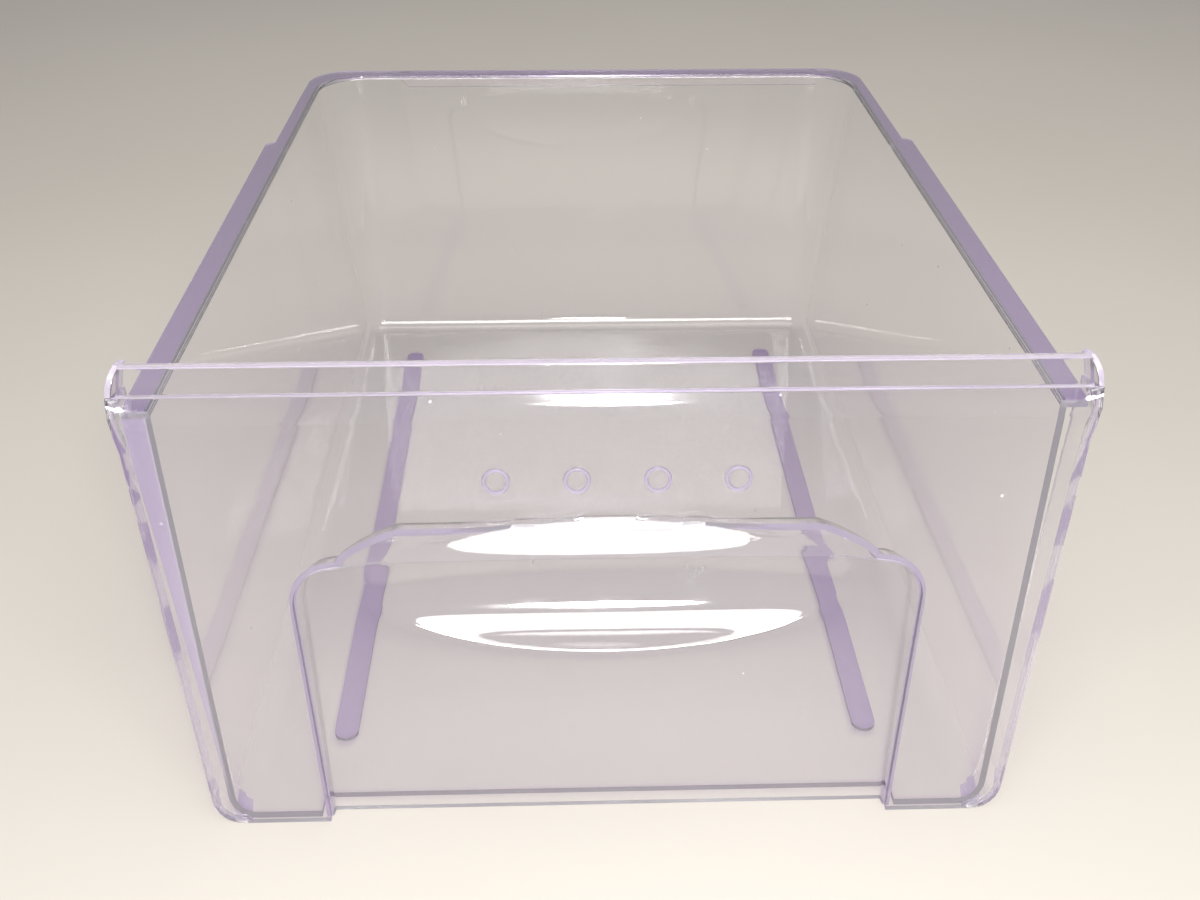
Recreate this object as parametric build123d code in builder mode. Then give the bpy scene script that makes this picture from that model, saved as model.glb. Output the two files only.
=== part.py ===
from build123d import *
from math import cos, radians, sin, tan
import os

os.makedirs("parts", exist_ok=True)

# A clear plastic drawer bin for a refrigerator, drawn as it stands on a table.
# Origin under the centre of its bounding box, +Z up, front towards -Y, millimetres.

# Overall size
bin_length = 432.0
bin_height = 177.5
rim_height = 159.5
foot_y = -bin_length / 2
rim_back_y = bin_length / 2

# Tub
wall = 2.5
floor_thickness = 3.0
draft = 5.7
floor_half_front = 142.0
floor_half_back = 138.0
floor_back_y = 191.0
front_overrun = 20.0
corner_radius = 10.0
edge_radius = 8.0
floor_cut_height = 5.0
post_reach = 32.0

# Rim flange round the open top
rim_thickness = 2.5
rim_half_front = 168.0
rim_half_step = 166.3
rim_step_y = 90.0
rim_step_run = 4.0
rim_half_behind_step = 161.8
rim_half_back = 160.5
rim_corner_radius = 22.0
rim_edge_radius = 0.8

# Skirt that hangs from the back rim
skirt_drop = 6.5
skirt_thickness = 2.2
skirt_left_x = -112.0
skirt_right_x = 138.0
skirt_slope = 6.0

# Floor ribs
rib_offset = 106.0
rib_width = 9.5
rib_rise = 1.6
rib_start_y = -176.0
rib_end_y = 152.0
rib_edge_radius = 0.5

# Front panel, which leans back by the lean angle
lean = 13.1
panel_thickness = 2.8
panel_half_foot = 149.5
panel_half_top = 171.5
panel_top = 170.0
panel_corner_radius = 11.0
return_depth = 13.0
return_thickness = 2.2

# Lip along the top of the front panel
lip_proud = 2.6
lip_half_top = 168.5
lip_end_radius = 3.0
lip_edge_radius = 1.0

# Four small round marks above the handle
mark_pitch = 28.4
mark_count = 4
mark_height = 138.0
mark_radius = 4.6
mark_ring = 0.9
mark_depth = 0.5

# Arched handle recess
arch_half_foot = 106.0
arch_half_shoulder = 115.0
arch_shoulder = 103.0
arch_crown = 112.3
arch_radius = 14.0
arch_draft = 12.0
recess_depth_foot = 5.5
recess_lean = 3.7
recess_wall = 2.4
recess_reach = 24.0
below_foot = 6.0

# Finger bowl and visor, two shells turned about lines parallel to X
grip_height = 94.0
bowl_centre_out = 7.4
bowl_half_length = 107.6
bowl_radius = 33.0
bowl_wall = 2.4
visor_centre_out = -25.5
visor_half_length = 120.4
visor_radius = 38.9
visor_wall = 2.4
visor_reach = 20.0


def leaning_plane(out, tilt):
    """Plane at the panel's foot, moved outwards, leaning back by tilt."""
    shift = Vector(0, -cos(radians(lean)), sin(radians(lean))) * out
    return Plane(
        origin=Vector(0, foot_y, 0) + shift,
        x_dir=(1, 0, 0),
        z_dir=(0, -cos(radians(tilt)), sin(radians(tilt))),
    )


panel_plane = leaning_plane(0, lean)
panel_back_plane = panel_plane.offset(-panel_thickness)
recess_plane = leaning_plane(-recess_depth_foot, lean + recess_lean)
recess_back_plane = recess_plane.offset(-recess_wall)


def tub_form(grow, base, top, radius):
    """Tapered block of the tub, grown by the wall, its lower edges rounded."""
    front_y = foot_y - front_overrun
    back_y = floor_back_y + grow
    with BuildPart() as form:
        with BuildSketch(Plane.XY.offset(base)) as outline:
            with BuildLine():
                Polyline(
                    (-floor_half_front - grow, front_y),
                    (floor_half_front + grow, front_y),
                    (floor_half_back + grow, back_y),
                    (-floor_half_back - grow, back_y),
                    close=True,
                )
            make_face()
            fillet(outline.vertices().group_by(Axis.Y)[-1], corner_radius + grow)
        extrude(amount=top - base, taper=-draft)
        lower = form.faces().sort_by(Axis.Z)[0].edges().sort_by(Axis.Y)[1:]
        fillet(lower, radius)
    return form.part


def arch_form(grow, reach_back, reach_out):
    """Block with the outline of the handle recess, narrowing towards the back."""
    with BuildPart() as form:
        with BuildSketch(panel_plane) as outline:
            with BuildLine():
                foot_left = (-arch_half_foot - grow, -below_foot)
                foot_right = (arch_half_foot + grow, -below_foot)
                shoulder_left = (-arch_half_shoulder - grow, arch_shoulder + grow)
                shoulder_right = (arch_half_shoulder + grow, arch_shoulder + grow)
                Line(foot_left, foot_right)
                Line(foot_right, shoulder_right)
                ThreePointArc(shoulder_right, (0, arch_crown + grow), shoulder_left)
                Line(shoulder_left, foot_left)
            make_face()
            fillet(outline.vertices().group_by(Axis.Y)[-1], arch_radius + grow)
        if reach_back:
            extrude(amount=-reach_back, taper=arch_draft)
        if reach_out:
            extrude(outline.sketch, amount=reach_out)
    return form.part


def spindle_form(centre_out, half_length, radius):
    """Solid turned from half an ellipse about a line parallel to X."""
    centre = panel_plane.from_local_coords(Vector(0, grip_height, centre_out))
    section_plane = Plane(origin=centre, x_dir=(1, 0, 0), z_dir=panel_plane.z_dir)
    with BuildPart() as form:
        with BuildSketch(section_plane):
            with BuildLine():
                EllipticalCenterArc((0, 0), half_length, radius, start_angle=0, arc_size=180)
                Line((-half_length, 0), (half_length, 0))
            make_face()
        revolve(axis=Axis(centre, (1, 0, 0)))
    return form.part


tub_outside = tub_form(wall, 0, rim_height, edge_radius + wall)
tub_inside = tub_form(0, floor_thickness, rim_height, edge_radius)
tub_tall = tub_form(wall, 0, bin_height, edge_radius + wall)
recess_outside = arch_form(recess_wall, recess_reach, 0)
recess_cavity = arch_form(0, recess_reach, 0)
arch_opening = arch_form(0, 0, visor_reach)
bowl_outside = spindle_form(bowl_centre_out, bowl_half_length + bowl_wall, bowl_radius + bowl_wall)
bowl_inside = spindle_form(bowl_centre_out, bowl_half_length, bowl_radius)
visor_outside = spindle_form(visor_centre_out, visor_half_length, visor_radius)
visor_inside = spindle_form(visor_centre_out, visor_half_length - visor_wall, visor_radius - visor_wall)

# The whole tub in one shell, then cut where its faces change
with BuildPart() as recess_block:
    add(recess_outside)
    split(bisect_by=recess_back_plane, keep=Keep.TOP)

with BuildPart() as tub_shell:
    add(tub_outside)
    add(tub_inside, mode=Mode.SUBTRACT)
    split(bisect_by=panel_back_plane, keep=Keep.BOTTOM)
    add(recess_block.part, mode=Mode.SUBTRACT)

post_x = floor_half_back + rim_height * tan(radians(draft)) - post_reach
post_y = floor_back_y + rim_height * tan(radians(draft)) - post_reach

with BuildPart() as tub_floor:
    add(tub_shell.part)
    split(bisect_by=Plane.XY.offset(floor_cut_height), keep=Keep.BOTTOM)

with BuildPart() as upper_shell:
    add(tub_shell.part)
    split(bisect_by=Plane.XY.offset(floor_cut_height), keep=Keep.TOP)

side_cut = Plane.XZ.offset(-post_y)

with BuildPart() as right_wall:
    add(upper_shell.part)
    split(bisect_by=side_cut, keep=Keep.TOP)
    split(bisect_by=Plane.YZ, keep=Keep.TOP)

with BuildPart() as left_wall:
    add(upper_shell.part)
    split(bisect_by=side_cut, keep=Keep.TOP)
    split(bisect_by=Plane.YZ, keep=Keep.BOTTOM)

with BuildPart() as back_wall:
    add(upper_shell.part)
    split(bisect_by=side_cut, keep=Keep.BOTTOM)
    split(bisect_by=Plane.YZ.offset(post_x), keep=Keep.BOTTOM)
    split(bisect_by=Plane.YZ.offset(-post_x), keep=Keep.TOP)

with BuildPart() as back_right_corner:
    add(upper_shell.part)
    split(bisect_by=side_cut, keep=Keep.BOTTOM)
    split(bisect_by=Plane.YZ.offset(post_x), keep=Keep.TOP)

with BuildPart() as back_left_corner:
    add(upper_shell.part)
    split(bisect_by=side_cut, keep=Keep.BOTTOM)
    split(bisect_by=Plane.YZ.offset(-post_x), keep=Keep.BOTTOM)

# Rim flange, narrower behind a small step on each side
rim_front_y = foot_y
with BuildPart() as rim_ring:
    with BuildSketch(Plane.XY.offset(rim_height - rim_thickness)) as rim_outline:
        with BuildLine():
            Polyline(
                (0, rim_front_y),
                (rim_half_front, rim_front_y),
                (rim_half_step, rim_step_y),
                (rim_half_behind_step, rim_step_y + rim_step_run),
                (rim_half_back, rim_back_y),
                (0, rim_back_y),
                close=True,
            )
        make_face()
        mirror(about=Plane.YZ)
        fillet(rim_outline.vertices().group_by(Axis.Y)[-1], rim_corner_radius)
    extrude(amount=rim_thickness)
    upper_edges = rim_ring.faces().sort_by(Axis.Z)[-1].edges()
    fillet(upper_edges, rim_edge_radius)
    add(tub_tall, mode=Mode.SUBTRACT)
    split(bisect_by=panel_back_plane, keep=Keep.BOTTOM)

with BuildPart() as right_rim:
    add(rim_ring.part)
    split(bisect_by=side_cut, keep=Keep.TOP)
    split(bisect_by=Plane.YZ, keep=Keep.TOP)

with BuildPart() as left_rim:
    add(rim_ring.part)
    split(bisect_by=side_cut, keep=Keep.TOP)
    split(bisect_by=Plane.YZ, keep=Keep.BOTTOM)

with BuildPart() as back_rim:
    add(rim_ring.part)
    split(bisect_by=side_cut, keep=Keep.BOTTOM)

# Skirt under the outer edge of the back rim, with a sloping left end
skirt_top = rim_height - rim_thickness
with BuildPart() as back_rim_skirt:
    with BuildSketch(Plane.XZ.offset(-rim_back_y)):
        with BuildLine():
            Polyline(
                (skirt_left_x, skirt_top),
                (skirt_right_x, skirt_top),
                (skirt_right_x, skirt_top - skirt_drop),
                (skirt_left_x + skirt_slope, skirt_top - skirt_drop),
                close=True,
            )
        make_face()
    extrude(amount=skirt_thickness)


def floor_rib(side):
    """Low strip along the floor with round ends."""
    middle_y = (rib_start_y + rib_end_y) / 2
    with BuildPart() as rib:
        with BuildSketch(Plane.XY.offset(floor_thickness)):
            with Locations((side * rib_offset, middle_y)):
                SlotOverall(rib_end_y - rib_start_y, rib_width, rotation=90)
        extrude(amount=rib_rise)
        fillet(rib.faces().sort_by(Axis.Z)[-1].edges(), rib_edge_radius)
    return rib.part


with BuildPart() as left_floor_rib:
    add(floor_rib(-1))

with BuildPart() as right_floor_rib:
    add(floor_rib(1))


def panel_outline(inset):
    """Sketch of the front panel: wider at the top, round lower corners."""
    with BuildSketch(panel_plane) as outline:
        with BuildLine():
            Polyline(
                (-panel_half_foot + inset, inset),
                (panel_half_foot - inset, inset),
                (panel_half_top - inset, panel_top),
                (-panel_half_top + inset, panel_top),
                close=True,
            )
        make_face()
        fillet(outline.vertices().group_by(Axis.Y)[0], panel_corner_radius - inset)
    return outline.sketch


# Front panel with the handle opening and the four marks
with BuildPart() as front_panel:
    extrude(panel_outline(0), amount=-panel_thickness)
    add(recess_cavity, mode=Mode.SUBTRACT)
    add(visor_inside, mode=Mode.SUBTRACT)
    split(bisect_by=Plane.XY, keep=Keep.TOP)
    with BuildSketch(panel_plane):
        with Locations((0, mark_height)):
            with GridLocations(mark_pitch, mark_pitch, mark_count, 1):
                Circle(mark_radius)
                Circle(mark_radius - mark_ring, mode=Mode.SUBTRACT)
    extrude(amount=-mark_depth, mode=Mode.SUBTRACT)

# Edge returns: the panel's sides and lower corners turned back
with BuildPart() as return_band:
    extrude(panel_outline(0), amount=-panel_thickness - return_depth)
    extrude(panel_outline(return_thickness), amount=-panel_thickness - return_depth, mode=Mode.SUBTRACT)
    split(bisect_by=panel_back_plane, keep=Keep.BOTTOM)
    split(bisect_by=Plane.XY, keep=Keep.TOP)
    add(tub_outside, mode=Mode.SUBTRACT)
    add(recess_outside, mode=Mode.SUBTRACT)

with BuildPart() as right_panel_return:
    add(return_band.part)
    split(bisect_by=Plane.YZ, keep=Keep.TOP)

with BuildPart() as left_panel_return:
    add(return_band.part)
    split(bisect_by=Plane.YZ, keep=Keep.BOTTOM)

# Lip: a proud bead along the top of the panel
lip_top = bin_height / cos(radians(lean))
with BuildPart() as front_lip:
    with BuildSketch(panel_plane.offset(-panel_thickness)) as lip_outline:
        with BuildLine():
            Polyline(
                (-panel_half_top, panel_top),
                (panel_half_top, panel_top),
                (lip_half_top, lip_top),
                (-lip_half_top, lip_top),
                close=True,
            )
        make_face()
        fillet(lip_outline.vertices().group_by(Axis.Y)[-1], lip_end_radius)
    extrude(amount=panel_thickness + lip_proud)
    lip_face = front_lip.faces().sort_by(Axis(panel_plane.origin, panel_plane.z_dir))[-1]
    fillet(lip_face.edges(), lip_edge_radius)
    split(bisect_by=Plane.XY.offset(bin_height), keep=Keep.BOTTOM)

# Handle recess: a set-back panel, and the frame that joins it to the front
with BuildPart() as recess_panel:
    add(recess_outside)
    split(bisect_by=recess_plane, keep=Keep.BOTTOM)
    split(bisect_by=recess_back_plane, keep=Keep.TOP)
    split(bisect_by=Plane.XY, keep=Keep.TOP)
    add(bowl_outside, mode=Mode.SUBTRACT)

with BuildPart() as recess_frame:
    add(recess_outside)
    add(recess_cavity, mode=Mode.SUBTRACT)
    split(bisect_by=recess_plane, keep=Keep.TOP)
    split(bisect_by=panel_back_plane, keep=Keep.BOTTOM)
    split(bisect_by=Plane.XY, keep=Keep.TOP)
    add(bowl_outside, mode=Mode.SUBTRACT)

with BuildPart() as right_recess_side:
    add(recess_frame.part)
    split(bisect_by=Plane.YZ, keep=Keep.TOP)

with BuildPart() as left_recess_side:
    add(recess_frame.part)
    split(bisect_by=Plane.YZ, keep=Keep.BOTTOM)

# Finger bowl behind the recess, running up behind the front panel
with BuildPart() as recess_space:
    add(recess_cavity)
    split(bisect_by=recess_plane, keep=Keep.TOP)

with BuildPart() as finger_bowl:
    add(bowl_outside)
    add(bowl_inside, mode=Mode.SUBTRACT)
    split(bisect_by=panel_back_plane, keep=Keep.BOTTOM)
    add(recess_space.part, mode=Mode.SUBTRACT)

# Visor: the swelling above the opening that the fingers pull on
with BuildPart() as handle_visor:
    add(visor_outside)
    add(visor_inside, mode=Mode.SUBTRACT)
    split(bisect_by=panel_plane, keep=Keep.TOP)
    add(arch_opening, mode=Mode.SUBTRACT)

pieces = {
    "tub_floor": tub_floor,
    "left_wall": left_wall,
    "right_wall": right_wall,
    "back_wall": back_wall,
    "back_left_corner": back_left_corner,
    "back_right_corner": back_right_corner,
    "left_rim": left_rim,
    "right_rim": right_rim,
    "back_rim": back_rim,
    "back_rim_skirt": back_rim_skirt,
    "left_floor_rib": left_floor_rib,
    "right_floor_rib": right_floor_rib,
    "front_panel": front_panel,
    "left_panel_return": left_panel_return,
    "right_panel_return": right_panel_return,
    "front_lip": front_lip,
    "left_recess_side": left_recess_side,
    "right_recess_side": right_recess_side,
    "recess_panel": recess_panel,
    "finger_bowl": finger_bowl,
    "handle_visor": handle_visor,
}

for name, piece in pieces.items():
    piece.part.label = name
    export_step(piece.part, f"parts/{name}.step")
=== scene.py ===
import math
import bmesh
import bpy
from mathutils import Matrix, Vector


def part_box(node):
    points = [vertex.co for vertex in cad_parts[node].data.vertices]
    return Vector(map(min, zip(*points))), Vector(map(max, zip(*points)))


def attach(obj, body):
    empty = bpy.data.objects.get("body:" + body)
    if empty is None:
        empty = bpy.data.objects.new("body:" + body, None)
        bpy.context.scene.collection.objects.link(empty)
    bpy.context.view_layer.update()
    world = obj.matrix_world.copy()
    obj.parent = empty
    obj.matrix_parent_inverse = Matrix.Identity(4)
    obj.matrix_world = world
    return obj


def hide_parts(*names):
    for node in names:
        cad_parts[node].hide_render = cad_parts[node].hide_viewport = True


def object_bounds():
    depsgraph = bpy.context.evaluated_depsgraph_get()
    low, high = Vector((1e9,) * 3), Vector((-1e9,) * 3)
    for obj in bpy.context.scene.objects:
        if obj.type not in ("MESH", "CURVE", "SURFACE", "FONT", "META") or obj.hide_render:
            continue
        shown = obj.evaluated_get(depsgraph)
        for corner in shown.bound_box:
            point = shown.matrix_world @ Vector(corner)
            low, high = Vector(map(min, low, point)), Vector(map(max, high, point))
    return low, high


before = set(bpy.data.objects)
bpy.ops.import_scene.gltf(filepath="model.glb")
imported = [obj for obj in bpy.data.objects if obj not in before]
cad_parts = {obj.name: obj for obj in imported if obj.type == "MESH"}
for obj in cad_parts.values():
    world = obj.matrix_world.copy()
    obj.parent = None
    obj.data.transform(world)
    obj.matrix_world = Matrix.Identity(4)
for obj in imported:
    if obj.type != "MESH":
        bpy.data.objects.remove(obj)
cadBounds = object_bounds()
mm = 0.001
footY = cadBounds[0].y / mm  # the front panel's foot, in millimetres
backY = cadBounds[1].y / mm
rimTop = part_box("left_rim")[1].z / mm
hairGap = 0.04  # air between two pieces of the moulding, so that their faces never share a plane

camera = dict(place=(-15.6, -566.5, 391.2), turn=(57.4, -0.19, -1.71), lens=39.5, sensor=36.0)

panel = dict(
    lean=13.1, thickness=2.8, halfFoot=149.5, halfTop=170.9, top=169.9, footRound=11.0,
    returnDepth=15.8, edgeRound=1.8, coveStart=162.5, coveRise=-2.6, rows=28,
    flare=3.2, flareWidth=6.0, flareMiddle=166.0, flareReach=15.0,
    overlap=-1.5, footShare=0.25, turnStep=12, topRun=20.0, rowSpread=1.7,
)
arch = dict(
    halfFoot=106.0, halfShoulder=115.0, below=6.0, shoulder=103.0, crown=112.3, corner=14.0, draft=12.0,
    sideSteps=24, cornerSteps=16, crownSteps=40,
)
visor = dict(height=94.0, centre=-25.5, halfLength=120.4, radius=38.9, blend=0.7)

lean = math.radians(panel["lean"])
panelFrame = Matrix((  # across, up the slope and outward, to the bin's own axes
    (1, 0, 0, 0),
    (0, math.sin(lean), -math.cos(lean), footY),
    (0, math.cos(lean), math.sin(lean), 0),
    (0, 0, 0, 1),
))
toMetres = Matrix.Scale(mm, 4)


def smoothStep(low, high, value):
    t = min(max((value - low) / (high - low), 0), 1)
    return t * t * (3 - 2 * t)


def softMax(a, b, blend):  # the larger of two heights, with a small round where they cross
    return (a + b + math.sqrt((a - b) ** 2 + blend ** 2)) / 2


def mappedSheet(columns, rows, place):
    bm = bmesh.new()
    bmesh.ops.create_grid(bm, x_segments=columns, y_segments=rows, size=1)
    for vert in bm.verts:
        i = round((vert.co.x + 1) / 2 * columns)
        j = round((vert.co.y + 1) / 2 * rows)
        vert.co = place(i, j)
    return bm


def makeObject(name, bm, matrix=Matrix.Identity(4)):
    bmesh.ops.transform(bm, matrix=toMetres @ matrix, verts=bm.verts)
    mesh = bpy.data.meshes.new(name)
    bm.to_mesh(mesh)
    bm.free()
    piece = bpy.data.objects.new(name, mesh)
    bpy.context.scene.collection.objects.link(piece)
    return piece


def settle(piece):  # puts the modifiers' result into the mesh
    bpy.context.view_layer.update()
    graph = bpy.context.evaluated_depsgraph_get()
    finished = bpy.data.meshes.new_from_object(piece.evaluated_get(graph))
    piece.modifiers.clear()
    piece.data = finished
    return piece


def addThickness(piece, thickness, offset, materials):
    for material in materials:
        piece.data.materials.append(material)
    wall = piece.modifiers.new("wall", "SOLIDIFY")
    # the wall's rim faces take the second material, the painted pale edge glow
    wall.material_offset_rim = 1
    wall.thickness = thickness * mm
    wall.offset = offset
    wall.use_even_offset = True
    wall.use_rim = True
    return settle(piece)


def cutFlat(piece, point, normal):  # takes off what lies on the normal's side, and closes the cut
    bm = bmesh.new()
    bm.from_mesh(piece.data)
    geom = bm.verts[:] + bm.edges[:] + bm.faces[:]
    bmesh.ops.bisect_plane(bm, geom=geom, dist=1e-7, plane_co=point, plane_no=normal, clear_outer=True)
    openEdges = [edge for edge in bm.edges if edge.is_boundary]
    # the closing faces take the second material, the painted pale edge glow
    for face in bmesh.ops.holes_fill(bm, edges=openEdges, sides=0)["faces"]:
        face.material_index = 1
    bmesh.ops.recalc_face_normals(bm, faces=bm.faces)
    bm.to_mesh(piece.data)
    bm.free()
    return piece


def combine(piece, other, operation, slotIndex=1):  # the other's faces take the piece's edge finish, the painted pale edge glow
    for material in piece.data.materials:
        other.data.materials.append(material)
    for face in other.data.polygons:
        face.material_index = slotIndex
    step = piece.modifiers.new(operation.lower(), "BOOLEAN")
    step.operation = operation
    step.object = other
    step.solver = "EXACT"
    settle(piece)
    bpy.data.objects.remove(other)
    return piece


def finish(piece, nodes, edge=0.5, sharp=28):
    if edge:
        rounds = piece.modifiers.new("rounds", "BEVEL")
        rounds.width = edge * mm
        rounds.segments = 2
        rounds.limit_method = "ANGLE"
        rounds.angle_limit = math.radians(40)
        rounds.use_clamp_overlap = True
        settle(piece)
    piece.data.shade_smooth()
    piece.data.set_sharp_from_angle(angle=math.radians(sharp))
    even = piece.modifiers.new("even", "WEIGHTED_NORMAL")
    even.keep_sharp = True
    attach(piece, "root")
    if nodes:
        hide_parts(*nodes)
    print("made", piece.name, len(piece.data.polygons), "faces")
    return piece


# Camera, floor and light
def makeCamera(settings):
    data = bpy.data.cameras.new("viewAngle")
    data.lens = settings["lens"]
    data.sensor_width = settings["sensor"]
    data.clip_start = 0.01
    holder = bpy.data.objects.new("viewAngle", data)
    holder.location = Vector(settings["place"]) * mm
    holder.rotation_euler = [math.radians(a) for a in settings["turn"]]
    bpy.context.scene.collection.objects.link(holder)
    bpy.context.scene.camera = holder
    print("camera is set")


def makeFloor(settings):
    bm = bmesh.new()
    bmesh.ops.create_grid(bm, x_segments=8, y_segments=8, size=settings["size"] / mm)
    bmesh.ops.translate(bm, verts=bm.verts, vec=(0, 0, -settings["drop"]))
    floor = makeObject("paleFloor", bm)
    material = bpy.data.materials.new("palePaper")
    material.use_nodes = True
    tree = material.node_tree
    shader = tree.nodes["Principled BSDF"]
    shader.inputs["Roughness"].default_value = 0.6
    coords = tree.nodes.new("ShaderNodeTexCoord")
    noise = tree.nodes.new("ShaderNodeTexNoise")
    noise.inputs["Scale"].default_value = 3.0
    ramp = tree.nodes.new("ShaderNodeValToRGB")
    ramp.color_ramp.elements[0].color = (*settings["dark"], 1)
    ramp.color_ramp.elements[1].color = (*settings["light"], 1)
    tree.links.new(coords.outputs["Object"], noise.inputs["Vector"])
    tree.links.new(noise.outputs["Fac"], ramp.inputs["Fac"])
    tree.links.new(ramp.outputs["Color"], shader.inputs["Base Color"])
    floor.data.materials.append(material)


def makeLight(name, settings):
    data = bpy.data.lights.new(name, "AREA")
    data.shape = "ELLIPSE"
    data.size, data.size_y = settings["size"]
    data.energy = settings["power"]
    data.color = settings["colour"]
    lamp = bpy.data.objects.new(name, data)
    place = Vector(settings["place"])
    lamp.location = place
    lamp.visible_glossy = settings.get("mirrored", True)
    lamp.rotation_euler = (Vector(settings["aim"]) - place).to_track_quat("-Z", "Y").to_euler()
    bpy.context.scene.collection.objects.link(lamp)


def makeWorld(colour, strength):
    world = bpy.data.worlds.new("studio")
    bpy.context.scene.world = world
    world.use_nodes = True
    background = world.node_tree.nodes["Background"]
    background.inputs["Color"].default_value = (*colour, 1)
    background.inputs["Strength"].default_value = strength


studioLights = {
    "softTop": dict(
        place=(0.25, 0.35, 1.9), aim=(0, 0, 0), size=(1.5, 1.5), power=16, colour=(1, 0.98, 0.95),
        mirrored=False,
    ),
    "softKey": dict(
        place=(0.0, -0.66, 1.02), aim=(0, -0.2, 0.1), size=(1.0, 0.5), power=9.5, colour=(1, 0.99, 0.97),
    ),
    "flash": dict(
        place=(0.02, -0.62, 0.45), aim=(0, -0.05, 0.05), size=(0.1, 0.07), power=2.6, colour=(1, 1, 1),
    ),
}
makeCamera(camera)
makeFloor(dict(size=3.0, drop=0.05, dark=(0.55, 0.515, 0.465), light=(0.60, 0.565, 0.515)))
for lightName, lightSettings in studioLights.items():
    makeLight(lightName, lightSettings)
makeWorld((0.86, 0.85, 0.86), 0.36)
bpy.context.scene.view_settings.view_transform = "Standard"
cycles = bpy.context.scene.cycles
cycles.max_bounces = 20
cycles.transmission_bounces = 18
cycles.glossy_bounces = 6
cycles.transparent_max_bounces = 20
cycles.caustics_refractive = False
cycles.caustics_reflective = False


# Clear plastic, with haze, hairline scratches, specks and a few worn spots
plasticLook = dict(
    colour=(0.985, 0.975, 0.99), ior=1.53, depthColour=(0.84, 0.76, 0.92), density=4.0,
    shade=(0.93, 0.925, 0.94), clear=0.975,
    smooth=0.015, dull=0.06, frosted=0.32, scratch=0.2, speckSize=0.055,
)
# painted violet shade for the tops of rims and ribs: a darker violet tint standing in for the light seen
# edge-on through the rims' layers
rimShadeLook = dict(plasticLook, colour=(0.90, 0.845, 0.925), smooth=0.03, dull=0.1, clear=0.88)
wear = dict(
    hazeScale=22, patchScale=9, speckCells=70, speckPatches=38, crazing=260, rippleScale=14,
    tone=(0.93, 0.93, 0.95), speckClear=0.45,
    rippleShare=0.6, markShare=0.02, bumpStrength=0.25, bumpDepth=0.0008,
)
# painted glow for cut edges: a pale violet, partly diffuse finish standing in for light carried along the
# walls and out at their edges
edgeGlowLook = dict(plasticLook, colour=(0.94, 0.895, 0.95), smooth=0.1, dull=0.2, clear=0.72)


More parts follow.
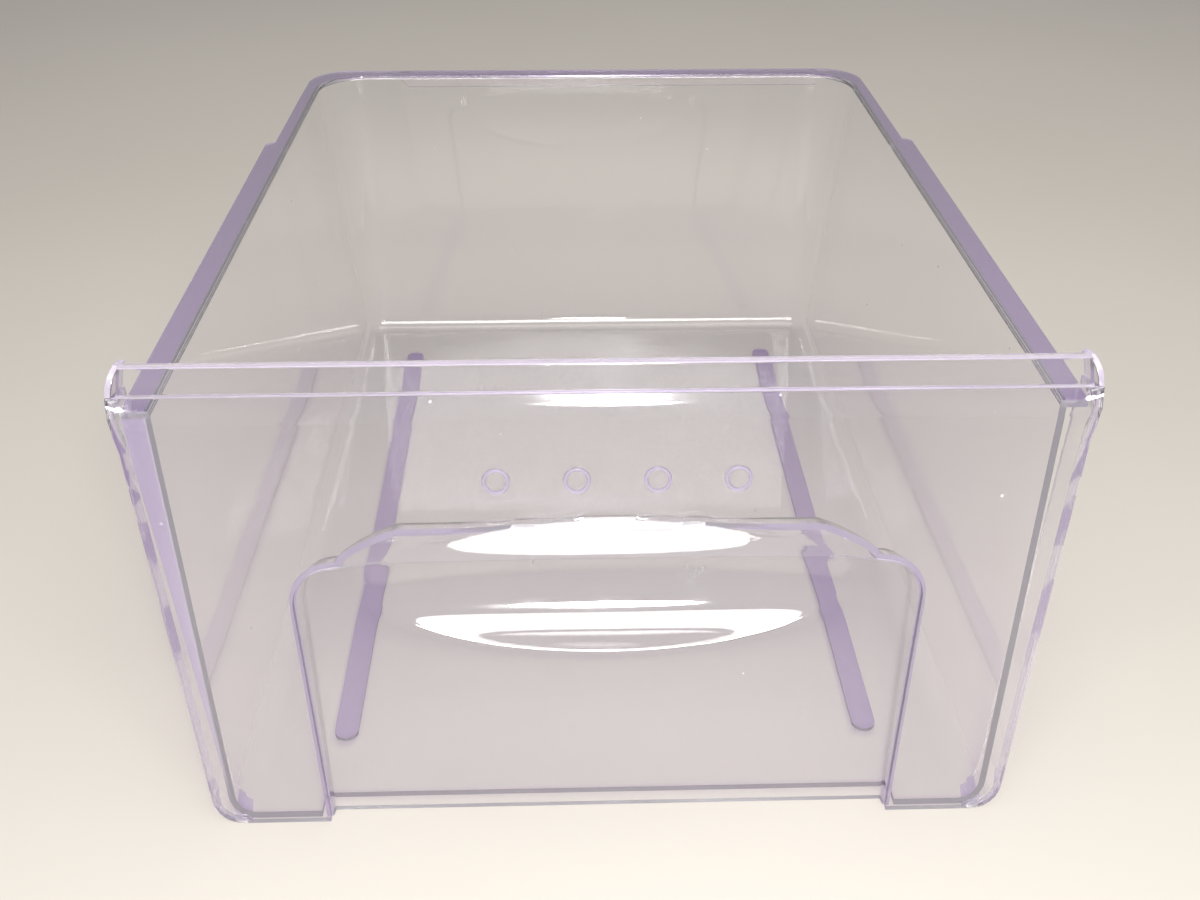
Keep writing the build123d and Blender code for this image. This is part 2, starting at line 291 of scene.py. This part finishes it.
def clearPlastic(name, look, wornSpots):
    material = bpy.data.materials.new(name)
    material.use_nodes = True
    tree = material.node_tree
    nodes, links = tree.nodes, tree.links
    shader = nodes["Principled BSDF"]
    shader.inputs["IOR"].default_value = look["ior"]

    def add(kind, **settings):
        node = nodes.new(kind)
        for key, value in settings.items():
            setattr(node, key, value)
        return node

    def maths(operation, first, second):
        node = add("ShaderNodeMath", operation=operation, use_clamp=operation == "ADD")
        for socket, value in zip(node.inputs, (first, second)):
            if isinstance(value, (int, float)):
                socket.default_value = value
            else:
                links.new(value, socket)
        return node.outputs[0]

    def ranged(value, low, high, toLow, toHigh):
        node = add("ShaderNodeMapRange")
        links.new(value, node.inputs["Value"])
        for key, number in zip(("From Min", "From Max", "To Min", "To Max"), (low, high, toLow, toHigh)):
            node.inputs[key].default_value = number
        return node.outputs["Result"]

    def noise(vector, scale, detail):
        node = add("ShaderNodeTexNoise")
        links.new(vector, node.inputs["Vector"])
        node.inputs["Scale"].default_value = scale
        node.inputs["Detail"].default_value = detail
        return node.outputs["Fac"]

    coords = add("ShaderNodeTexCoord").outputs["Object"]

    def stretched(turn, scale):
        node = add("ShaderNodeMapping")
        links.new(coords, node.inputs["Vector"])
        node.inputs["Rotation"].default_value = [math.radians(a) for a in turn]
        node.inputs["Scale"].default_value = scale
        return node.outputs["Vector"]

    haze = ranged(noise(coords, wear["hazeScale"], 3), 0.42, 0.72, look["smooth"], look["dull"])
    firstLines = ranged(noise(stretched((8, 20, 35), (900, 14, 30)), 1, 1), 0.72, 0.78, 0, 1)
    otherLines = ranged(noise(stretched((-25, 10, -50), (20, 800, 16)), 1, 1), 0.73, 0.78, 0, 1)
    patchy = ranged(noise(coords, wear["patchScale"], 2), 0.48, 0.62, 0, 1)
    lines = maths("MULTIPLY", maths("ADD", firstLines, otherLines), patchy)
    cells = add("ShaderNodeTexVoronoi")
    cells.inputs["Scale"].default_value = wear["speckCells"]
    links.new(coords, cells.inputs["Vector"])
    dots = ranged(cells.outputs["Distance"], look["speckSize"], look["speckSize"] / 2, 0, 1)
    specks = maths("MULTIPLY", dots, ranged(noise(coords, wear["speckPatches"], 1), 0.56, 0.6, 0, 1))
    frost = None
    for place, radius, strength in wornSpots:
        away = add("ShaderNodeVectorMath", operation="DISTANCE")
        links.new(coords, away.inputs[0])
        away.inputs[1].default_value = [value * mm for value in place]
        spot = ranged(away.outputs["Value"], radius * mm, radius * mm * 0.25, 0, strength)
        frost = spot if frost is None else maths("ADD", frost, spot)
    marks = maths("ADD", specks, maths("MULTIPLY", lines, look["scratch"]))
    if frost is not None:
        broken = ranged(noise(coords, wear["crazing"], 4), 0.42, 0.66, 0, 1)
        marks = maths("ADD", marks, maths("MULTIPLY", frost, broken))
    rough = maths("ADD", haze, maths("MULTIPLY", marks, look["frosted"]))
    links.new(rough, shader.inputs["Roughness"])
    tone = add("ShaderNodeMix", data_type="RGBA")
    links.new(marks, tone.inputs["Factor"])
    tone.inputs["A"].default_value = (*look["colour"], 1)
    tone.inputs["B"].default_value = (*wear["tone"], 1)
    links.new(tone.outputs["Result"], shader.inputs["Base Color"])
    clear = ranged(specks, 0, 1, look["clear"], wear["speckClear"])
    links.new(clear, shader.inputs["Transmission Weight"])
    waves = maths("MULTIPLY", noise(coords, wear["rippleScale"], 2), wear["rippleShare"])
    ripple = maths("ADD", waves, maths("MULTIPLY", marks, wear["markShare"]))
    bump = add("ShaderNodeBump")
    bump.inputs["Strength"].default_value = wear["bumpStrength"]
    bump.inputs["Distance"].default_value = wear["bumpDepth"]
    links.new(ripple, bump.inputs["Height"])
    links.new(bump.outputs["Normal"], shader.inputs["Normal"])
    path = add("ShaderNodeLightPath")
    through = add("ShaderNodeBsdfTransparent")
    through.inputs["Color"].default_value = (*look["shade"], 1)
    either = add("ShaderNodeMixShader")
    links.new(path.outputs["Is Shadow Ray"], either.inputs["Fac"])
    links.new(shader.outputs["BSDF"], either.inputs[1])
    links.new(through.outputs["BSDF"], either.inputs[2])
    depth = add("ShaderNodeVolumeAbsorption")
    depth.inputs["Color"].default_value = (*look["depthColour"], 1)
    depth.inputs["Density"].default_value = look["density"]
    output = nodes["Material Output"]
    links.new(either.outputs["Shader"], output.inputs["Surface"])
    links.new(depth.outputs["Volume"], output.inputs["Volume"])
    return material


def onPanel(across, up, out):  # a point of the panel in the bin's axes, in millimetres
    return panelFrame @ Vector((across, up, out))


panelSpots = [
    (onPanel(-161, 163, 0), 12, 0.9),
    (onPanel(-80, 176, 2), 7, 0.6),
    (onPanel(105, 177, 2), 6, 0.7),
    (onPanel(130, 173, 2), 6, 0.6),
    (onPanel(112, 142, 0), 22, 0.35),
]
bowlSpots = [
    (onPanel(-30, 92, -24), 14, 0.8),
    (onPanel(34, 92, -24), 14, 0.8),
    (onPanel(58, 88, -18), 9, 0.7),
    (onPanel(0, 112, -20), 50, 0.35),
]
tubPlastic = clearPlastic("tubPlastic", plasticLook, [])
panelPlastic = clearPlastic("panelPlastic", plasticLook, panelSpots)
handlePlastic = clearPlastic("handlePlastic", plasticLook, bowlSpots)
# painted pale glow for cut edges
edgeGlowPlastic = clearPlastic("edgeGlowPlastic", edgeGlowLook, [])
# painted violet shade for rim tops
rimShadePlastic = clearPlastic("rimShadePlastic", rimShadeLook, [])

# Tub: one wall section carried round three sides, then the floor, ribs and skirt
tub = dict(
    wall=2.5, floorTop=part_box("left_floor_rib")[0].z / mm, draft=5.7, halfFront=142.0, halfBack=138.0,
    floorBack=191.0, overrun=20.0, corner=10.0, foot=8.0, topRound=1.2, rimFront=167.4, rimStep=166.3,
    stepY=90.0, stepRun=4.0, rimBehind=161.8, rimBack=160.5, rimCorner=22.0,
    footSteps=7, wallSteps=6, topSteps=4, cornerSteps=12,
)
stationPlaces = (-170, -120, -70, -20, 30, 60, tub["stepY"], tub["stepY"] + tub["stepRun"], 120, 150, 168)


def tubSection():  # pairs of distance out from the floor's outline, and height
    slope = math.radians(tub["draft"])
    bottom, top = tub["floorTop"], rimTop
    footCentre = (tub["foot"] * math.tan(slope) - tub["foot"] / math.cos(slope), bottom + tub["foot"])
    section = []

    def turnPoint(centre, radius, angle):
        section.append((centre[0] + radius * math.cos(angle), centre[1] + radius * math.sin(angle)))

    for k in range(tub["footSteps"] + 1):
        turnPoint(footCentre, tub["foot"], -math.pi / 2 + (math.pi / 2 - slope) * k / tub["footSteps"])
    low, high = section[-1][1], top - tub["topRound"]
    for k in range(1, tub["wallSteps"]):
        height = low + (high - low) * k / tub["wallSteps"]
        section.append(((height - bottom) * math.tan(slope), height))
    rimCentre = ((high - bottom) * math.tan(slope) + tub["topRound"] / math.cos(slope), high)
    for k in range(tub["topSteps"] + 1):
        turnPoint(rimCentre, tub["topRound"], math.pi - slope - (math.pi / 2 - slope) * k / tub["topSteps"])
    return section


def rimHalf(y):
    if y <= tub["stepY"]:
        return tub["rimFront"] + (tub["rimStep"] - tub["rimFront"]) * (y - footY) / (tub["stepY"] - footY)
    behind = tub["stepY"] + tub["stepRun"]
    return tub["rimBehind"] + (tub["rimBack"] - tub["rimBehind"]) * (y - behind) / (backY - behind)


def tubStations():  # from the left front, round the back, to the right front: base, outward, rim's edge
    frontY = footY - tub["overrun"]
    cornerY = tub["floorBack"] - tub["corner"]
    cornerX = tub["halfBack"] - tub["corner"]
    right = []
    for y in (frontY, *stationPlaces):
        half = tub["halfFront"] + (tub["halfBack"] - tub["halfFront"]) * (y - frontY) / (cornerY - frontY)
        right.append((Vector((half, y)), Vector((1, 0)), Vector((rimHalf(y), y))))
    rimCentre = Vector((tub["rimBack"] - tub["rimCorner"], backY - tub["rimCorner"]))
    for k in range(tub["cornerSteps"] + 1):
        angle = math.pi / 2 * k / tub["cornerSteps"]
        out = Vector((math.cos(angle), math.sin(angle)))
        base = Vector((cornerX, cornerY)) + out * tub["corner"]
        right.append((base, out, rimCentre + out * tub["rimCorner"]))
    for part in (0.72, 0.36, 0.0):
        x = cornerX * part
        right.append((Vector((x, tub["floorBack"])), Vector((0, 1)), Vector((x, backY))))
    left = [tuple(Vector((-p.x, p.y)) for p in station) for station in right[:-1]]
    return left + right[::-1]


def makeTub():
    section, stations = tubSection(), tubStations()

    def place(i, j):
        base, out, edge = stations[i]
        if j < len(section):
            spot = base + out * section[j][0]
            return (spot.x, spot.y, section[j][1])
        return (edge.x, edge.y, rimTop)

    bm = mappedSheet(len(stations) - 1, len(section), place)
    bm.verts.ensure_lookup_table()
    ends = [v for v in bm.verts if abs(v.co.z - tub["floorTop"]) < 1e-4 and v.co.y < footY - 10]
    bmesh.ops.contextual_create(bm, geom=ends)
    loop = [e for e in bm.edges if e.is_boundary or e.is_wire]
    loop = [e for e in loop if all(abs(v.co.z - tub["floorTop"]) < 1e-4 for v in e.verts)]
    bmesh.ops.edgeloop_fill(bm, edges=loop)
    bmesh.ops.recalc_face_normals(bm, faces=bm.faces)
    floorFace = max(bm.faces, key=lambda f: f.calc_area())
    if floorFace.normal.z > 0:
        bmesh.ops.reverse_faces(bm, faces=bm.faces)
    piece = makeObject("tub", bm)
    addThickness(piece, tub["wall"], 1, (tubPlastic, edgeGlowPlastic))
    backOfPanel = onPanel(0, 0, -panel["thickness"] - hairGap) * mm
    cutFlat(piece, backOfPanel, (0, -math.cos(lean), math.sin(lean)))
    return piece


def makeBlock(name, low, high):
    bm = bmesh.new()
    bmesh.ops.create_cube(bm, size=1)
    middle = (Vector(low) + Vector(high)) / 2
    bmesh.ops.scale(bm, vec=Vector(high) - Vector(low), verts=bm.verts)
    bmesh.ops.translate(bm, vec=middle, verts=bm.verts)
    return bm


def makeRib(node):  # a low strip with round ends, sunk a little way into the floor to join it
    low, high = (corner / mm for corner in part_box(node))
    bm = makeBlock(node, (low.x, low.y, low.z - 1), high)
    upright = [e for e in bm.edges if abs(e.verts[0].co.z - e.verts[1].co.z) > 1]
    roundEnd = (high.x - low.x) / 2 * 0.998  # just under half the width, so that the rounds don't meet
    bmesh.ops.bevel(bm, geom=upright, offset=roundEnd, segments=8, profile=0.5, affect="EDGES", material=-1)
    return makeObject(node + "Join", bm)


def makeSkirt():
    low, high = (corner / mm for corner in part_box("back_rim_skirt"))
    bm = makeBlock("skirt", low, (high.x, high.y, high.z + 1))
    slope = [v for v in bm.verts if v.co.x < 0 and v.co.z < low.z + 1]
    bmesh.ops.translate(bm, vec=(high.z - low.z, 0, 0), verts=slope)
    return makeObject("skirtJoin", bm)


tubPiece = makeTub()
for rib in ("left_floor_rib", "right_floor_rib"):
    combine(tubPiece, makeRib(rib), "UNION")
combine(tubPiece, makeSkirt(), "UNION")
notch = dict(margin=4, start=5, reach=12.4, height=9)  # clears the foot of the handle recess
notchHalf = arch["halfFoot"] + notch["margin"]
notchLow = (-notchHalf, footY - notch["start"], -notch["start"])
notchBlock = makeBlock("notch", notchLow, (notchHalf, footY + notch["reach"], notch["height"]))
combine(tubPiece, makeObject("notchCut", notchBlock), "DIFFERENCE")
# the third material is the painted violet shade, given below to the rim tops and the broad tops of ribs and
# skirt; other broad cut faces at the back go back to clear plastic
tubPiece.data.materials.append(rimShadePlastic)
broadFaceArea = 2e-4  # square metres: the ribs' tops and the skirt's broad faces, clearer than cut edges
for face in tubPiece.data.polygons:
    facesUp = face.normal.z > 0.9
    if face.center.z > (rimTop - 0.3) * mm and facesUp:
        face.material_index = 2
    elif face.material_index == 1 and face.area > broadFaceArea and facesUp:
        face.material_index = 2
    elif face.material_index == 1 and face.area > broadFaceArea and face.center.y > 0:
        face.material_index = 0
finish(tubPiece, [
    "tub_floor", "left_wall", "right_wall", "back_wall", "back_left_corner", "back_right_corner",
    "left_rim", "right_rim", "back_rim", "back_rim_skirt", "left_floor_rib", "right_floor_rib",
])


# Front panel: rows run from the arch's edge out to the panel's outline
def archCorner():  # centre of the shoulder's round, and of the long arc over the crown
    rise = arch["crown"] - arch["shoulder"]
    crownRadius = (arch["halfShoulder"] ** 2 + rise ** 2) / (2 * rise)
    crownCentre = Vector((0, arch["crown"] - crownRadius))
    foot = Vector((arch["halfFoot"], -arch["below"]))
    along = (Vector((arch["halfShoulder"], arch["shoulder"])) - foot).normalized()
    inward = Vector((-along.y, along.x))
    start = foot + inward * arch["corner"] - crownCentre
    dot = start.dot(along)
    reach = crownRadius - arch["corner"]
    travel = -dot + math.sqrt(dot * dot - start.length_squared + reach * reach)
    return crownCentre + start + along * travel, crownCentre, crownRadius, along, inward


cornerCentre, crownCentre, crownRadius, archAlong, archInward = archCorner()


def archSide(up):  # half width of the arch at a height
    return arch["halfFoot"] + archAlong.x / archAlong.y * (up + arch["below"])


def archTop(across, shrink):  # height of the arch's edge over a place across, drawn in by shrink
    across = abs(across)
    split = cornerCentre.x * crownRadius / (crownRadius - arch["corner"])
    if across <= split * (crownRadius - shrink) / crownRadius:
        return crownCentre.y + math.sqrt((crownRadius - shrink) ** 2 - across ** 2)
    left = (arch["corner"] - shrink) ** 2 - (across - cornerCentre.x) ** 2
    return cornerCentre.y + math.sqrt(max(left, 0))


def sideHalf(up):
    return panel["halfFoot"] + (panel["halfTop"] - panel["halfFoot"]) * up / panel["top"]


def panelStations():  # pairs of a point on the arch and its partner on the outline, left to right
    tangent = cornerCentre - archInward * arch["corner"]
    slant = Vector((panel["halfTop"] - panel["halfFoot"], panel["top"])).normalized()
    inward = Vector((-slant.y, slant.x))
    roundUp = panel["footRound"] * (1 - inward.y)
    roundStart = Vector((sideHalf(roundUp), roundUp))
    roundCentre = roundStart + inward * panel["footRound"]
    lastAngle = math.atan2(-inward.y, -inward.x)
    overlap, footShare = panel["overlap"], panel["footShare"]  # below the floor, cut flat later
    right = [(Vector((archSide(overlap), overlap)), Vector((roundCentre.x + overlap, overlap)))]
    for k in range(arch["sideSteps"] + 1):
        t = k / arch["sideSteps"]
        up = 0.2 + (tangent.y - 0.2) * t
        if t < footShare:
            angle = -math.pi / 2 + (lastAngle + math.pi / 2) * t / footShare
            partner = roundCentre + Vector((math.cos(angle), math.sin(angle))) * panel["footRound"]
        else:
            rise = roundUp + (tangent.y - roundUp) * (t - footShare) / (1 - footShare)
            partner = Vector((sideHalf(rise), rise))
        right.append((Vector((archSide(up), up)), partner))
    firstAngle = math.atan2(-archInward.y, -archInward.x)
    toCentre = (cornerCentre - crownCentre).normalized()
    endAngle = math.atan2(toCentre.y, toCentre.x)
    topRun, turnStep, cornerSteps = panel["topRun"], panel["turnStep"], arch["cornerSteps"]
    topStart = panel["halfTop"] - topRun
    for k in range(1, cornerSteps + 1):
        angle = firstAngle + (endAngle - firstAngle) * k / cornerSteps
        point = cornerCentre + Vector((math.cos(angle), math.sin(angle))) * arch["corner"]
        if k <= turnStep:
            rise = tangent.y + (panel["top"] - tangent.y) * k / turnStep
            partner = Vector((sideHalf(rise), rise))
        else:
            along = topRun * (k - turnStep) / (cornerSteps - turnStep)
            partner = Vector((panel["halfTop"] - along, panel["top"]))
        right.append((point, partner))
    lastAcross = right[-1][0].x
    for k in range(1, arch["crownSteps"] + 1):
        rest = 1 - k / arch["crownSteps"]
        across = lastAcross * rest
        right.append((Vector((across, archTop(across, 0))), Vector((topStart * rest, panel["top"]))))
    left = [tuple(Vector((-p.x, p.y)) for p in pair) for pair in right[:-1]]
    return left + right[::-1]


def flareAt(up):  # how far the panel's side edges swell outward at a height
    return panel["flare"] * max(1 - ((up - panel["flareMiddle"]) / panel["flareReach"]) ** 2, 0)


def panelHeight(across, up):  # how far the panel's face stands out
    spread = max(1 - (across / visor["halfLength"]) ** 2, 0)
    squared = visor["radius"] ** 2 * spread - (up - visor["height"]) ** 2
    swell = visor["centre"] + math.sqrt(max(squared, 0))
    out = softMax(swell, 0, visor["blend"])
    out += panel["coveRise"] * smoothStep(panel["coveStart"], panel["top"], up)
    beside = smoothStep(sideHalf(up) - panel["flareWidth"], sideHalf(up) - 1.5, abs(across))
    return out + flareAt(up) * beside


def makePanel():
    stations, rows = panelStations(), panel["rows"]

    def place(i, j):
        inner, outer = stations[i]
        spot = inner.lerp(outer, (j / rows) ** panel["rowSpread"])
        return (spot.x, spot.y, panelHeight(spot.x, spot.y))

    bm = mappedSheet(len(stations) - 1, rows, place)
    rimEdges = []
    for edge in bm.edges:
        middle = (edge.verts[0].co + edge.verts[1].co) / 2
        if edge.is_boundary and middle.y < panel["top"] - 0.01 and abs(middle.x) > sideHalf(middle.y) - 12:
            along = edge.verts[0].co - edge.verts[1].co
            if abs(along.y) > 0.4 * abs(along.x) or middle.y < 6:
                rimEdges.append(edge)
    rimEdges = [e for e in rimEdges if not all(v.co.y < -1 for v in e.verts)]
    turned = bmesh.ops.extrude_edge_only(bm, edges=rimEdges)["geom"]
    for vert in turned:
        if isinstance(vert, bmesh.types.BMVert):
            vert.co.z = -panel["returnDepth"]
    bmesh.ops.bevel(
        bm, geom=rimEdges, offset=panel["edgeRound"], segments=4, profile=0.5, affect="EDGES", material=-1,
        clamp_overlap=True,
    )
    bmesh.ops.recalc_face_normals(bm, faces=bm.faces)
    middleFace = min(bm.faces, key=lambda f: (f.calc_center_median() - Vector((0, 150, 0))).length)
    if middleFace.normal.z < 0:
        bmesh.ops.reverse_faces(bm, faces=bm.faces)
    piece = makeObject("frontPanel", bm, panelFrame)
    addThickness(piece, panel["thickness"], -1, (panelPlastic, edgeGlowPlastic))
    return cutFlat(piece, (0, 0, 0), (0, 0, -1))


marks = dict(pitch=28.4, count=4, middle=2.8, height=138.0, radius=4.2, groove=0.75)


def makeMarks():  # ring grooves, sunk half their thickness
    bm = bmesh.new()
    for k in range(marks["count"]):
        across = marks["middle"] + (k - (marks["count"] - 1) / 2) * marks["pitch"]
        ring = bmesh.ops.create_circle(bm, segments=10, radius=marks["groove"])["verts"]
        bmesh.ops.rotate(bm, verts=ring, cent=(0, 0, 0), matrix=Matrix.Rotation(math.pi / 2, 3, "X"))
        bmesh.ops.translate(bm, verts=ring, vec=(across + marks["radius"], marks["height"], 0.15))
        edges = list({e for v in ring for e in v.link_edges})
        bmesh.ops.spin(
            bm, geom=ring + edges, cent=(across, marks["height"], 0), axis=(0, 0, 1),
            angle=2 * math.pi, steps=36, use_merge=True,
        )
    bmesh.ops.remove_doubles(bm, verts=bm.verts, dist=1e-4)
    bmesh.ops.recalc_face_normals(bm, faces=bm.faces)
    return makeObject("markRings", bm, panelFrame)


frontPiece = makePanel()
combine(frontPiece, makeMarks(), "DIFFERENCE")
finish(frontPiece, [
    "front_panel", "left_panel_return", "right_panel_return", "handle_visor",
])

# Handle recess and finger bowl
recess = dict(
    depthFoot=5.5, tilt=3.7, wall=2.4, foot=-1.6, bowlCentre=7.4, bowlHalf=107.6, bowlRadius=33.0, blend=1.6,
    pocketTop=115.0, columns=132, lowRows=18, highRows=42,
)


def flatDepth(up):
    return recess["depthFoot"] + up * math.tan(math.radians(recess["tilt"]))


def bowlCross(across):  # the bowl's radius at a place across
    return recess["bowlRadius"] * math.sqrt(max(1 - (across / recess["bowlHalf"]) ** 2, 0))


def bowlDepth(across, up):
    return math.sqrt(max(bowlCross(across) ** 2 - (up - visor["height"]) ** 2, 0)) - recess["bowlCentre"]


def bowlEdge(across, ceiling):  # height of the bowl's lower edge on the set-back panel
    up = visor["height"] - 14
    for _ in range(8):
        left = bowlCross(across) ** 2 - (recess["bowlCentre"] + flatDepth(up)) ** 2
        up = visor["height"] - math.sqrt(max(left, 0))
    return min(up, ceiling * 0.9)


def recessTop(across):  # the top edge: the bowl's own where it runs up behind the panel
    back = panel["thickness"] + hairGap
    shrink = flatDepth(arch["shoulder"]) * math.tan(math.radians(arch["draft"]))
    left = bowlCross(across) ** 2 - (recess["bowlCentre"] + back) ** 2
    bowlTop = min(visor["height"] + math.sqrt(max(left, 0)), recess["pocketTop"])
    if bowlTop > archTop(across, 0.6):
        return bowlTop
    return archTop(across, shrink)


def makeRecess():
    slope = math.tan(math.radians(arch["draft"]))
    back = panel["thickness"] + hairGap
    low, high, columns = recess["lowRows"], recess["highRows"], recess["columns"]
    topShrink = flatDepth(arch["shoulder"]) * slope
    widest = cornerCentre.x + arch["corner"] - topShrink

    def place(i, j):
        s = math.sin(math.pi / 2 * (2 * i / columns - 1))
        ceiling = recessTop(s * widest)
        middle = bowlEdge(s * widest, ceiling)
        if j <= low:
            up = recess["foot"] + (middle - recess["foot"]) * (1 - (1 - j / low) ** 1.8)
        else:
            t = (j - low) / high
            up = middle + (ceiling - middle) * (1 - math.cos(math.pi * t)) / 2
        half = archSide(up) - flatDepth(up) * slope / archAlong.y
        across = s * min(half, widest)
        depth = softMax(flatDepth(up), bowlDepth(across, up), recess["blend"])
        return (across, up, -max(depth, back))

    bm = mappedSheet(columns, low + high, place)
    wallEdges = [e for e in bm.edges if e.is_boundary and not all(v.co.y < 0 for v in e.verts)]
    wallEdges = [e for e in wallEdges if any(v.co.z < -back - 0.05 for v in e.verts)]
    grown = bmesh.ops.extrude_edge_only(bm, edges=wallEdges)["geom"]
    for vert in grown:
        if not isinstance(vert, bmesh.types.BMVert):
            continue
        travel = (-vert.co.z - back) * slope
        side = 1 if vert.co.x > 0 else -1
        if vert.co.y < cornerCentre.y:
            out = Vector((-archInward.x * side, -archInward.y))
        elif abs(vert.co.x) > cornerCentre.x:
            out = Vector((vert.co.x - side * cornerCentre.x, vert.co.y - cornerCentre.y)).normalized()
        else:
            out = Vector((vert.co.x, vert.co.y - crownCentre.y)).normalized()
        vert.co = (vert.co.x + out.x * travel, vert.co.y + out.y * travel, -back)
    bmesh.ops.remove_doubles(bm, verts=bm.verts, dist=0.02)
    bmesh.ops.recalc_face_normals(bm, faces=bm.faces)
    middleFace = min(bm.faces, key=lambda f: (f.calc_center_median() - Vector((0, 40, -8))).length)
    if middleFace.normal.z < 0:
        bmesh.ops.reverse_faces(bm, faces=bm.faces)
    piece = makeObject("handleRecess", bm, panelFrame)
    addThickness(piece, recess["wall"], -1, (handlePlastic, edgeGlowPlastic))
    return cutFlat(piece, (0, 0, 0), (0, 0, -1))


recessPiece = makeRecess()
finish(recessPiece, [
    "left_recess_side", "right_recess_side", "recess_panel", "finger_bowl",
], edge=0)

# Lip along the top, and the turned ends beside it
lip = dict(
    bottom=170.0, top=181.6, front=2.6, halfLow=166.4, halfHigh=164.6, edge=1.1, cutEdge=0.9,
    endLean=3.0, endRound=6.0, endDrop=1.2, endWall=2.2,
)


def makeLip():
    back = -panel["thickness"]
    bm = makeBlock("lip", (-lip["halfLow"], lip["bottom"], back), (lip["halfLow"], lip["top"], lip["front"]))
    for vert in bm.verts:
        if vert.co.y > lip["bottom"] + 1:
            vert.co.x *= lip["halfHigh"] / lip["halfLow"]
    longEdges = [e for e in bm.edges if abs(e.verts[0].co.x - e.verts[1].co.x) > 10]
    bmesh.ops.bevel(
        bm, geom=longEdges, offset=lip["edge"], segments=5, profile=0.5, affect="EDGES", material=-1,
    )
    bmesh.ops.recalc_face_normals(bm, faces=bm.faces)
    # the lip's top and bottom bands take the painted pale edge glow
    for face in bm.faces:
        up = face.calc_center_median().y
        if up > lip["top"] - lip["cutEdge"] or up < lip["bottom"] + lip["cutEdge"]:
            face.material_index = 1
    piece = makeObject("lip", bm, panelFrame)
    for material in (panelPlastic, edgeGlowPlastic):
        piece.data.materials.append(material)
    return piece


def makeLipEnd(side):
    columns, rows = 12, 8
    start = lip["bottom"] + hairGap

    def place(i, j):
        up = start + (lip["top"] - lip["endDrop"] - start) * i / columns
        turn = (up - lip["bottom"]) / (lip["top"] - lip["bottom"])
        front = flareAt(up) + panel["coveRise"] - lip["endRound"] * turn ** 6
        back = -panel["returnDepth"] + lip["endRound"] * turn ** 6
        out = back + (front - back) * j / rows
        return (side * (panel["halfTop"] - lip["endLean"] * turn ** 2), up, out)

    bm = mappedSheet(columns, rows, place)
    bmesh.ops.recalc_face_normals(bm, faces=bm.faces)
    firstFace = next(iter(bm.faces))
    if firstFace.normal.x * side < 0:
        bmesh.ops.reverse_faces(bm, faces=bm.faces)
    piece = makeObject("leftLipEnd" if side < 0 else "rightLipEnd", bm, panelFrame)
    return addThickness(piece, lip["endWall"], -1, (panelPlastic, edgeGlowPlastic))


finish(makeLip(), ["front_lip"], edge=0)
for side in (-1, 1):
    finish(makeLipEnd(side), [])
